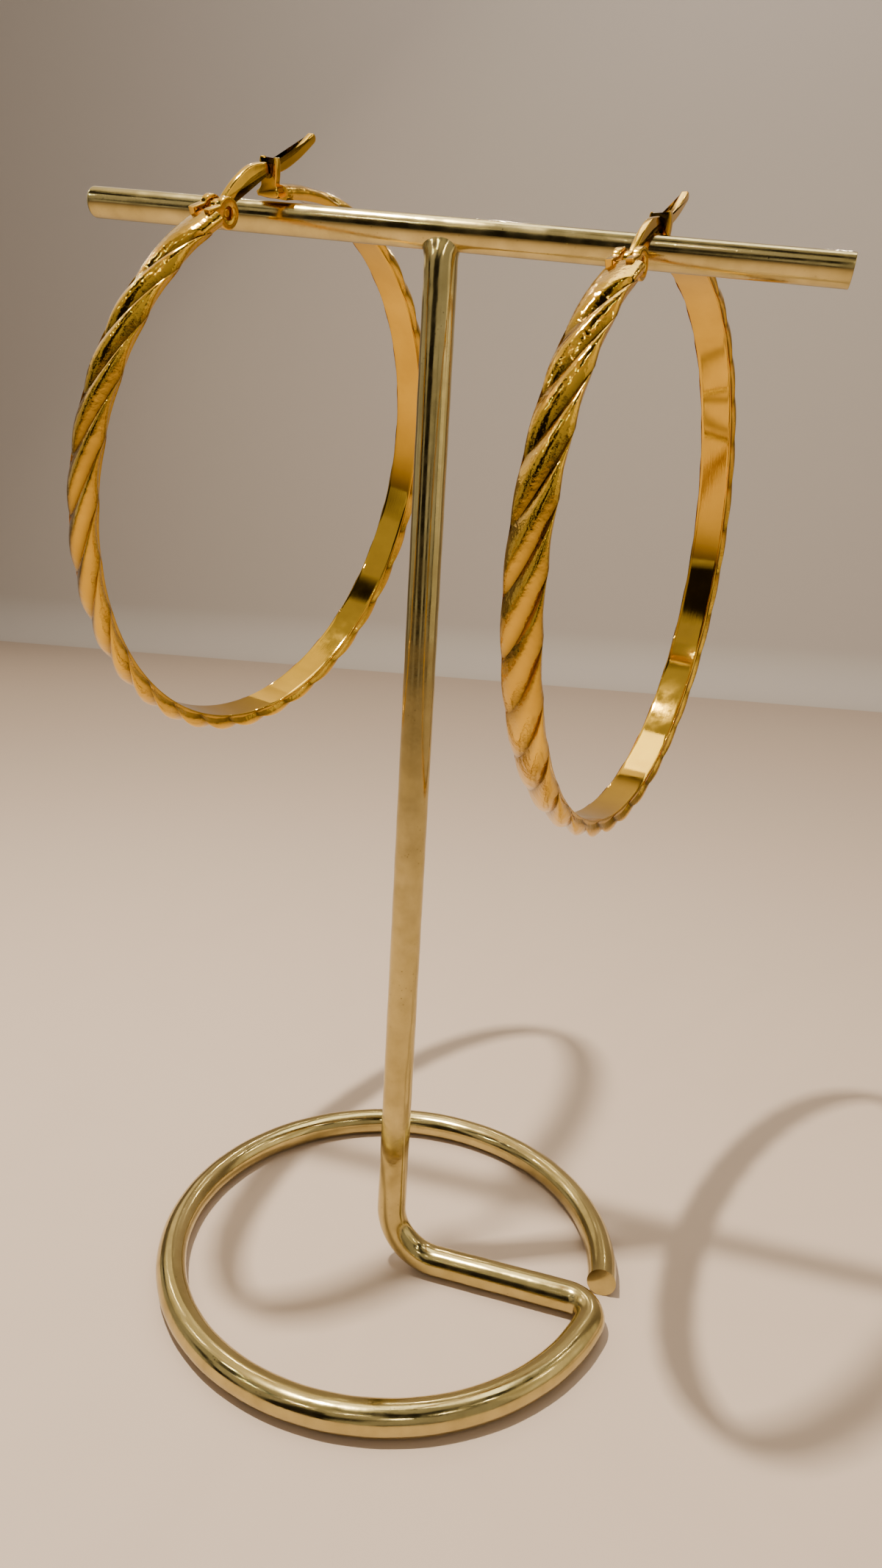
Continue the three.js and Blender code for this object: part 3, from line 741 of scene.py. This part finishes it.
def beside_hinge(rows, level):
    """Plate rows in the hoop's plane: x of the outline towards the catch, y outwards."""
    return np.stack([np.broadcast_to(level[:, None], rows.shape[:2]),
                     HINGE_BACK + rows[..., 0], HINGE_UP + rows[..., 1]], -1)


arm_points = beside_hinge(*plate_rows(lever_outline(), LEVER_WIDTH, ARM_RIM))
eye_outline = star_outline(lambda angle: np.full_like(angle, EAR_RADIUS - FIT_GAP), EYE_POINTS)
eye_points = beside_hinge(*holed_plate(eye_outline, HOLE_RADIUS, LEVER_WIDTH - EYE_THINNER, EYE_RIM))
arms = {side: metal_piece(side + "_lever_arm", on_hoop(side, arm_points.reshape(-1, 3)),
                          *carried_faces(*arm_points.shape[:2]), crease_deg=PLATE_CREASE_DEG)
        for side in HANGINGS}
eyes = {side: metal_piece(side + "_lever_eye", on_hoop(side, eye_points.reshape(-1, 3)),
                          loop_faces(*eye_points.shape[:2]), [], crease_deg=PLATE_CREASE_DEG)
        for side in HANGINGS}

# %% [markdown]
# ## Effects that the metals share
# Real metal is never one even colour. A node group is an effect with named inputs that is
# built once and placed in each material with its own values. The first one gives a
# cloudy value, for haze, ripples and a change of colour. The second gives fine lines that
# follow the metal's own direction. The third gives small round pits.

# %% Node groups
LINE_SQUEEZE = (1.0, 0.035, 1.0)


def new_group(name, values, result):
    """An empty group: a vector and some numbers with their usual values go in, a number comes out."""
    group = bpy.data.node_groups.new(name, "ShaderNodeTree")
    group.interface.new_socket("Vector", in_out="INPUT", socket_type="NodeSocketVector")
    for key, value in values.items():
        socket = group.interface.new_socket(key, in_out="INPUT", socket_type="NodeSocketFloat")
        socket.default_value = value
    group.interface.new_socket(result, in_out="OUTPUT", socket_type="NodeSocketFloat")
    return group, group.nodes.new("NodeGroupInput"), group.nodes.new("NodeGroupOutput")


def add_node(tree, kind, **values):
    """A node with its plain settings and its unlinked inputs set."""
    node = tree.nodes.new(kind)
    for key, value in values.items():
        if key in node.inputs:
            node.inputs[key].default_value = value
        else:
            setattr(node, key, value)
    return node


def cloud_group():
    """Cloud = smooth noise, stretched so that it runs from 0 to 1."""
    group, given, result = new_group("metal_cloud", {"Scale": 100.0}, "Cloud")
    noise = add_node(group, "ShaderNodeTexNoise", Detail=4.0, Roughness=0.55)
    spread = add_node(group, "ShaderNodeMapRange", **{"From Min": 0.32, "From Max": 0.68})
    group.links.new(given.outputs["Vector"], noise.inputs["Vector"])
    group.links.new(given.outputs["Scale"], noise.inputs["Scale"])
    group.links.new(noise.outputs["Fac"], spread.inputs["Value"])
    group.links.new(spread.outputs["Result"], result.inputs["Cloud"])
    return group


def line_group():
    """Lines = noise on coordinates squeezed along the metal, so that its spots become long."""
    group, given, result = new_group("metal_lines", {"Fineness": 6.0}, "Lines")
    squeeze = add_node(group, "ShaderNodeMapping", Scale=LINE_SQUEEZE)
    noise = add_node(group, "ShaderNodeTexNoise", Detail=3.0, Roughness=0.6)
    group.links.new(given.outputs["Vector"], squeeze.inputs["Vector"])
    group.links.new(squeeze.outputs["Vector"], noise.inputs["Vector"])
    group.links.new(given.outputs["Fineness"], noise.inputs["Scale"])
    group.links.new(noise.outputs["Fac"], result.inputs["Lines"])
    return group


def pit_group():
    """Pits = 1 within a small distance of scattered points, 0 elsewhere, and only in some places."""
    group, given, result = new_group("metal_pits", {"Scale": 900.0, "Size": 0.12}, "Pits")
    cells = add_node(group, "ShaderNodeTexVoronoi")
    near = add_node(group, "ShaderNodeMapRange", **{"To Min": 1.0, "To Max": 0.0})
    patches = add_node(group, "ShaderNodeTexNoise", Scale=160.0, Detail=2.0)
    some = add_node(group, "ShaderNodeMapRange", **{"From Min": 0.5, "From Max": 0.62})
    both = add_node(group, "ShaderNodeMath", operation="MULTIPLY")
    group.links.new(given.outputs["Vector"], cells.inputs["Vector"])
    group.links.new(given.outputs["Scale"], cells.inputs["Scale"])
    group.links.new(cells.outputs["Distance"], near.inputs["Value"])
    group.links.new(given.outputs["Size"], near.inputs["From Max"])
    group.links.new(given.outputs["Vector"], patches.inputs["Vector"])
    group.links.new(patches.outputs["Fac"], some.inputs["Value"])
    group.links.new(near.outputs["Result"], both.inputs[0])
    group.links.new(some.outputs["Result"], both.inputs[1])
    group.links.new(both.outputs["Value"], result.inputs["Pits"])
    return group


CLOUD, LINES, PITS = cloud_group(), line_group(), pit_group()
print("groups:", [group.name for group in bpy.data.node_groups])

# %% [markdown]
# ## The metals
# Every metal here is a Principled shader that is metallic all over. A few small links are
# made again and again, so each gets a helper.

# %% Links inside a material
def place_group(tree, group, vector, **values):
    """A group's node in a material, with its vector linked and its numbers set."""
    node = tree.nodes.new("ShaderNodeGroup")
    node.node_tree = group
    for key, value in values.items():
        node.inputs[key].default_value = value
    tree.links.new(vector, node.inputs["Vector"])
    return node


def mix_colour(tree, share, first, second):
    """first where share is 0, second where it is 1. Either may be a colour or a socket."""
    node = tree.nodes.new("ShaderNodeMix")
    node.data_type = "RGBA"
    tree.links.new(share, node.inputs["Factor"])
    for key, colour in (("A", first), ("B", second)):
        socket = [s for s in node.inputs if s.name == key and s.type == "RGBA"][0]
        if isinstance(colour, tuple):
            socket.default_value = (*colour, 1.0)
        else:
            tree.links.new(colour, socket)
    return [s for s in node.outputs if s.type == "RGBA"][0]


def scaled(tree, value, low, high):
    """The value 0 to 1 carried to low to high."""
    node = add_node(tree, "ShaderNodeMapRange", **{"To Min": low, "To Max": high})
    tree.links.new(value, node.inputs["Value"])
    return node.outputs["Result"]


def multiplied(tree, first, second):
    """The product of two values."""
    node = add_node(tree, "ShaderNodeMath", operation="MULTIPLY")
    tree.links.new(first, node.inputs[0])
    tree.links.new(second, node.inputs[1])
    return node.outputs["Value"]


def kept_at_points(tree, key):
    """A value that the mesh keeps at its points."""
    return add_node(tree, "ShaderNodeAttribute", attribute_name=key).outputs["Fac"]


print("helpers are ready to place", len(bpy.data.node_groups), "groups")

# %% [markdown]
# The groups change the colour, the roughness and the height a little from place to place.
# The colour drifts between a light and a dark tone, and hazy stains and pits carry
# tarnish. The valleys of the bands are darkened further with painted shade, and their
# fluted backs have a soft hammered ripple that the flat insides lack. The ripple is a bump,
# because it is too shallow to show in the outline.

# %% One recipe for every metal
DRIFT_SCALE, HAZE_SCALE, PIT_SCALE, RIPPLE_SCALE = 110.0, 420.0, 1300.0, 900.0
# Share by which the bands' valleys are darkened towards the dark colour: painted shade.
VALLEY_SHADE_SHARE = 0.8
PIT_SINK = -1.5
FINE_STRENGTH, FINE_HEIGHT = 0.12, 0.00002


def stained_and_shaded_colour(tree, place, haze, pits, finish):
    """Light to dark with a slow cloud, then the haze and the pits add stains, and the valleys get painted
    shade.
    """
    drift = place_group(tree, CLOUD, place, Scale=DRIFT_SCALE)
    colour = mix_colour(tree, drift.outputs["Cloud"], finish["light"], finish["dark"])
    colour = mix_colour(tree, scaled(tree, haze, 0.0, finish["stain"]), colour, finish["tarnish_and_shade"])
    colour = mix_colour(tree, pits, colour, finish["tarnish_and_shade"])
    # Painted shade: the bands' valleys grow darker the deeper they lie.
    if finish["fluted"]:
        painted_groove_shade = scaled(tree, kept_at_points(tree, "groove"), 0.0, VALLEY_SHADE_SHARE)
        colour = mix_colour(tree, painted_groove_shade, colour, finish["tarnish_and_shade"])
    return colour


def worn_relief(tree, place, lines, pits, finish):
    """Lines less sunk pits as a fine bump, and over it the slower ripple of hammered metal."""
    sink = add_node(tree, "ShaderNodeMath", operation="MULTIPLY_ADD")
    sink.inputs[1].default_value = PIT_SINK
    tree.links.new(pits, sink.inputs[0])
    tree.links.new(lines, sink.inputs[2])
    fine = add_node(tree, "ShaderNodeBump", Strength=FINE_STRENGTH, Distance=FINE_HEIGHT)
    tree.links.new(sink.outputs["Value"], fine.inputs["Height"])
    height = place_group(tree, CLOUD, place, Scale=RIPPLE_SCALE).outputs["Cloud"]
    if finish["fluted"]:
        height = multiplied(tree, height, kept_at_points(tree, "back"))
    hammered = add_node(tree, "ShaderNodeBump", Strength=1.0, Distance=finish["ripple"])
    tree.links.new(height, hammered.inputs["Height"])
    tree.links.new(fine.outputs["Normal"], hammered.inputs["Normal"])
    return hammered.outputs["Normal"]


def metal(name, finish):
    """A metallic material whose colour, roughness and relief follow one finish."""
    material = bpy.data.materials.new(name)
    material.use_nodes = True
    tree = material.node_tree
    shader = tree.nodes["Principled BSDF"]
    shader.inputs["Metallic"].default_value = 1.0
    where = tree.nodes.new("ShaderNodeTexCoord")
    place = where.outputs["Object"]
    haze = place_group(tree, CLOUD, place, Scale=HAZE_SCALE).outputs["Cloud"]
    pits = place_group(tree, PITS, place, Scale=PIT_SCALE, Size=finish["pit_size"]).outputs["Pits"]
    lines = place_group(tree, LINES, where.outputs[finish["lines_on"]], Fineness=finish["fineness"])
    tree.links.new(stained_and_shaded_colour(tree, place, haze, pits, finish), shader.inputs["Base Color"])
    tree.links.new(scaled(tree, haze, *finish["rough"]), shader.inputs["Roughness"])
    relief = worn_relief(tree, place, lines.outputs["Lines"], pits, finish)
    tree.links.new(relief, shader.inputs["Normal"])
    return material


# %% [markdown]
# The stand is pale yellow brass with a visible haze. The bands are deeper gold and nearly a
# mirror. The clasps have the same gold, a little duller from handling, and no UV map, so
# their fine lines are laid on Object coordinates.

# %% The three finishes
stand_brass = metal("champagne_brass", {
    "light": (0.63, 0.51, 0.21), "dark": (0.51, 0.405, 0.15), "tarnish_and_shade": (0.14, 0.09, 0.03),
    "rough": (0.10, 0.22), "lines_on": "UV", "fineness": 5.0, "pit_size": 0.16, "stain": 0.24,
    "ripple": 0.000004, "fluted": False})
# On the fluted bands the valleys also get painted shade.
hoop_gold = metal("polished_gold_plate", {
    "light": (0.83, 0.505, 0.05), "dark": (0.66, 0.39, 0.04), "tarnish_and_shade": (0.16, 0.09, 0.012),
    "rough": (0.03, 0.10), "lines_on": "UV", "fineness": 7.0, "pit_size": 0.05, "stain": 0.05,
    "ripple": 0.00004, "fluted": True})
clasp_gold = metal("clasp_gold", {
    "light": (0.84, 0.51, 0.055), "dark": (0.68, 0.40, 0.04), "tarnish_and_shade": (0.12, 0.07, 0.01),
    "rough": (0.07, 0.16), "lines_on": "Object", "fineness": 900.0, "pit_size": 0.08, "stain": 0.1,
    "ripple": 0.000006, "fluted": False})
print("materials:", [material.name for material in bpy.data.materials])

# %% [markdown]
# ## Each piece on its body
# The stand, the bands, the catches, the ears and the rivets move as one body. Only the
# lever and its eye turn, so they ride on the lever's own body. Each smooth piece says
# which faceted solid it stands for.

# %% Dress and ride
def dress(piece, material, body, node):
    """A piece gets its material and slot, rides on its body and replaces its CAD node."""
    piece.data.materials.append(material)
    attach(piece, body)
    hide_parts(node)
    print(piece.name, "rides on", body, "in place of", node)


for piece in (rod, bar):
    dress(piece, stand_brass, "stand_and_hoops", "stand")
for side in HANGINGS:
    dress(bands[side], hoop_gold, "stand_and_hoops", side + "_hoop")
    dress(forks[side], clasp_gold, "stand_and_hoops", side + "_hoop")
    dress(rivets[side], clasp_gold, "stand_and_hoops", side + "_rivet")
    dress(arms[side], clasp_gold, side + "_lever", side + "_lever")
    dress(eyes[side], clasp_gold, side + "_lever", side + "_lever")
for ear in ears:
    dress(ear, clasp_gold, "stand_and_hoops", ear.name.split("_")[0] + "_hoop")

# %% [markdown]
# ## Table and light
# The stand is on a pale, warm table. One sheet makes the table and, far behind, curves up
# into a wall with slightly greyer paint, so that the two meet softly. Only its first face
# is the table, and all others take the wall's paint.

# %% Table
TABLE_NEAR, TABLE_HALF_WIDTH = -1500, 2500
WALL_AT, WALL_TOP = 1000, 1800
COVE, COVE_ROWS = 60, 24
PAINTS = {"table_matt": (0.50, 0.385, 0.295, 1), "wall_matt": (0.55, 0.485, 0.43, 1)}
PAINT_ROUGHNESS = 0.7


def table_sheet():
    """Level up to the cove, then a quarter circle up into a wall, the same at every x."""
    bend = np.linspace(0, math.pi / 2, COVE_ROWS)
    cove_depth = WALL_AT - COVE + COVE * np.sin(bend[1:])
    depth = np.concatenate([[TABLE_NEAR, WALL_AT - COVE], cove_depth, [WALL_AT]])
    height = np.concatenate([[0, 0], COVE * (1 - np.cos(bend[1:])), [WALL_TOP]])
    x = np.array([-TABLE_HALF_WIDTH, TABLE_HALF_WIDTH])
    points = np.stack([np.tile(x, len(depth)), np.repeat(depth, 2), np.repeat(height, 2)], -1)
    rows = np.arange(len(depth) - 1)[:, None] * 2
    return points, rows + np.array([0, 1, 3, 2])


table_points, table_faces = table_sheet()
table_mesh = bpy.data.meshes.new("table")
table_mesh.from_pydata((table_points * MM).tolist(), [], table_faces.tolist())
table_mesh.shade_smooth()
table = bpy.data.objects.new("table", table_mesh)
bpy.context.scene.collection.objects.link(table)
for name, colour in PAINTS.items():
    paint = bpy.data.materials.new(name)
    paint.use_nodes = True
    paint_shader = paint.node_tree.nodes["Principled BSDF"]
    paint_shader.inputs["Base Color"].default_value = colour
    paint_shader.inputs["Roughness"].default_value = PAINT_ROUGHNESS
    table_mesh.materials.append(paint)
paint_of_face = np.minimum(np.arange(len(table_faces)), 1).astype(np.int32)
table_mesh.polygons.foreach_set("material_index", paint_of_face)
print("table sheet has", len(table_faces), "faces")

# %% [markdown]
# Polished metal shows its surroundings more than its own colour. One small lamp close by
# throws the shadows. Two wide soft lamps give the metal broad bright bands, a fourth one
# lights the wall, and a circle of small bulbs gives sharp sparkles. Lamps are placed in
# metres.

# %% Lamps
STAND_MIDDLE, WALL_SPOT = (0.0, 0.0, 0.09), (0.0, 1.0, 0.35)
BULBS, BULB_CIRCLE, BULB_TURN = 15, 0.75, 0.3
BULB_LOWEST, BULB_STEP_UP, BULB_LEVELS = 0.6, 0.17, 3
BULB_SIZE, BULB_POWER = 0.012, 0.3


def lamp(name, place, size, power, colour, aim=STAND_MIDDLE):
    """A square lamp that points at the stand's middle or at another place."""
    data = bpy.data.lights.new(name, "AREA")
    data.size, data.energy, data.color = size, power, colour
    lamp_object = bpy.data.objects.new(name, data)
    way = unit(np.array(aim) - np.array(place))
    aside = unit(np.cross(way, [0.0, 0.01, 1.0]))
    turn = np.stack([aside, np.cross(aside, way), -way], 1)
    lamp_object.matrix_world = Matrix.Translation(place) @ Matrix(turn.tolist()).to_4x4()
    bpy.context.scene.collection.objects.link(lamp_object)


lamp("shadow_lamp", (-0.084, -0.051, 0.405), 0.012, 2.8, (1.0, 0.93, 0.82))
lamp("left_softbox", (-0.6, 0.3, 0.8), 1.0, 2.6, (1.0, 0.85, 0.62))
lamp("right_softbox", (0.8, 0.1, 0.4), 0.8, 1.3, (1.0, 0.85, 0.62))
lamp("wall_lamp", (0.1, 0.4, 1.3), 0.8, 7.0, (1.0, 0.96, 0.9), WALL_SPOT)
for number in range(BULBS):
    turn = 2 * math.pi * (number + BULB_TURN) / BULBS
    height = BULB_LOWEST + BULB_STEP_UP * (number % BULB_LEVELS)
    place = (BULB_CIRCLE * math.cos(turn), BULB_CIRCLE * math.sin(turn), height)
    lamp(f"bulb_{number}", place, BULB_SIZE, BULB_POWER, (1.0, 0.9, 0.72))
print("lamps:", [light.name for light in bpy.data.lights])

# %% [markdown]
# The world gives the even light of a room. Lit walls and darker furniture would show in
# the metal as soft light and dark patches, so the world's brightness drifts slowly with
# direction for everything except the camera's own view of it.

# %% World
ROOM_DRIFT = {"Scale": 2.2, "Detail": 1.5, "Roughness": 0.4}
DARK_UP_TO, DARK_ROOM = 0.475, (0.025, 0.02, 0.016, 1)
LIT_FROM, LIT_ROOM = 0.545, (0.85, 0.76, 0.64, 1)
PLAIN_VIEW = (0.5, 0.46, 0.42)
ROOM_STRENGTH = 0.56

world = bpy.data.worlds.new("room")
world.use_nodes = True
bpy.context.scene.world = world
tree = world.node_tree
sky = tree.nodes["Background"]
where = tree.nodes.new("ShaderNodeTexCoord")
drift = add_node(tree, "ShaderNodeTexNoise", **ROOM_DRIFT)
tree.links.new(where.outputs["Generated"], drift.inputs["Vector"])
ramp = tree.nodes.new("ShaderNodeValToRGB")
dark_end, lit_end = ramp.color_ramp.elements
dark_end.position, dark_end.color = DARK_UP_TO, DARK_ROOM
lit_end.position, lit_end.color = LIT_FROM, LIT_ROOM
tree.links.new(drift.outputs["Fac"], ramp.inputs["Fac"])
ray_kind = tree.nodes.new("ShaderNodeLightPath")
seen = mix_colour(tree, ray_kind.outputs["Is Camera Ray"], ramp.outputs["Color"], PLAIN_VIEW)
tree.links.new(seen, sky.inputs["Color"])
sky.inputs["Strength"].default_value = ROOM_STRENGTH
print("the world's light runs from", DARK_ROOM[:3], "to", LIT_ROOM[:3])
